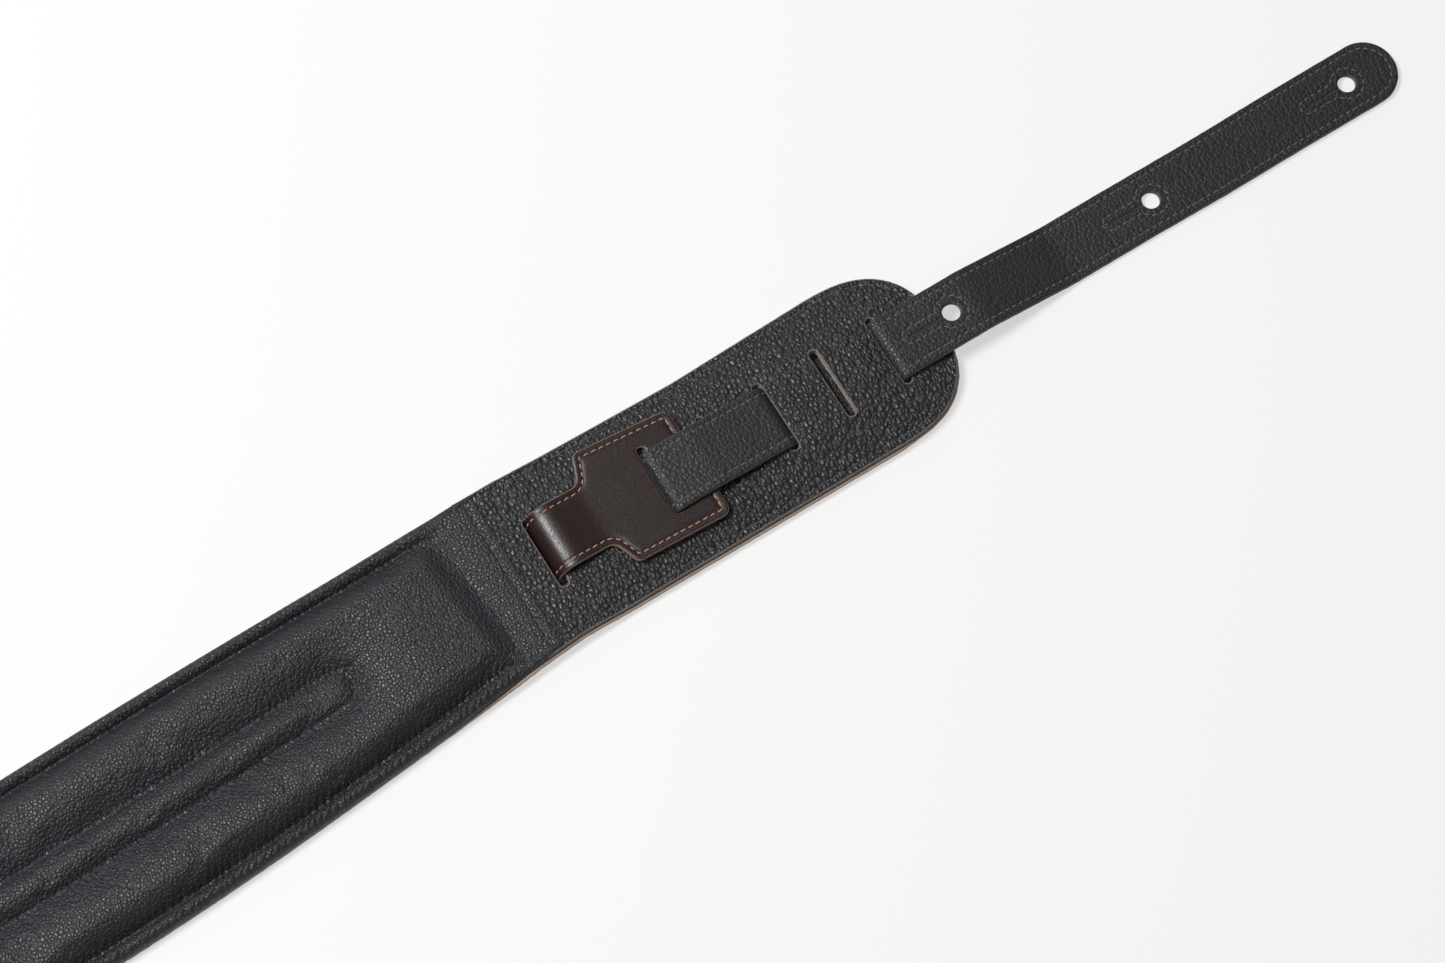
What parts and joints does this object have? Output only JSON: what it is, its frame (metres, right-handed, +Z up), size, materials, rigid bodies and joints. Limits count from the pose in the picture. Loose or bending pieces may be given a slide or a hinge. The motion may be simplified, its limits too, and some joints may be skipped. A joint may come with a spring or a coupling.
{
  "type": "guitar strap",
  "caption": "Padded leather instrument strap with a stitched shoulder pad, a slotted rear end, a woven adjusting tail and keyholes for strap buttons.",
  "frame": {"origin": "centre of the underside of the bounding box, on the surface that the strap lies on", "axes": "+X along the strap towards the tip of the adjusting tail, +Y across it to the side that the pad bows away from, +Z up out of the shoulder side"},
  "size_m": [1.2094, 0.0812, 0.0114],
  "materials": {
    "cover_leather": "soft fine-grained glove leather, semi-matte charcoal black",
    "grained_leather": "pebble-grained black leather with fuzzy tan cut edges",
    "face_leather": "smooth dark brown leather, satin, with tan cut edges",
    "lining_leather": "matte black lining leather",
    "foam": "grey foam, hidden",
    "black_thread": "black sewing thread",
    "tan_thread": "tan-orange sewing thread"
  },
  "bodies": {
    "rear_pad": {"rear_pad_base_leather": "face_leather", "rear_pad_foam": "foam", "rear_pad_cover": "cover_leather", "rear_pad_lining_tuck": "grained_leather", "rear_pad_edge_stitching": "black_thread", "rear_pad_channel_stitching": "black_thread", "rear_pad_seam_stitching": "black_thread", "rear_bend_foam": "foam", "rear_bend_cover": "cover_leather", "rear_bend_stitching": "black_thread"},
    "front_pad": {"front_pad_base_leather": "face_leather", "front_pad_foam": "foam", "front_pad_cover": "cover_leather", "front_pad_lining_tuck": "grained_leather", "front_pad_edge_stitching": "black_thread", "front_pad_channel_stitching": "black_thread", "front_pad_seam_stitching": "black_thread", "front_bend_foam": "foam", "front_bend_cover": "cover_leather", "front_bend_stitching": "black_thread"},
    "rear_end": {"ladder_base_leather": "face_leather", "ladder_lining": "grained_leather", "tab_face": "face_leather", "tab_lining": "lining_leather", "tab_stitching": "tan_thread", "ladder_edge_stitching": "black_thread"},
    "tail": {"tail_face": "face_leather", "tail_lining": "lining_leather", "tail_edge_stitching": "black_thread", "tail_keyhole_stitching": "black_thread"},
    "front_end": {"tongue_base_leather": "face_leather", "tongue_lining": "grained_leather", "tongue_edge_stitching": "black_thread", "tongue_keyhole_stitching": "black_thread"}
  },
  "joints": [
    {"name": "shoulder_bend", "type": "hinge", "parent": "rear_pad", "child": "front_pad", "pos_m": [-0.1147, 0, 0.0018], "axis": [0, 1, 0], "range_deg": [0, 100], "deforming": ["rear_bend_foam", "rear_bend_cover", "rear_bend_stitching", "front_bend_foam", "front_bend_cover", "front_bend_stitching"]},
    {"name": "rear_end_fold", "type": "hinge", "parent": "rear_pad", "child": "rear_end", "pos_m": [0.2375, 0.00885, 0.0062], "axis": [0, -1, 0], "range_deg": [0, 90]},
    {"name": "front_end_fold", "type": "hinge", "parent": "front_pad", "child": "front_end", "pos_m": [-0.4669, 0.00885, 0.0036], "axis": [0, 1, 0], "range_deg": [0, 90]},
    {"name": "tail_bend", "type": "hinge", "parent": "rear_end", "child": "tail", "pos_m": [0.3919, 0.00885, 0.0092], "axis": [0, -1, 0], "range_deg": [0, 120]}
  ]
}
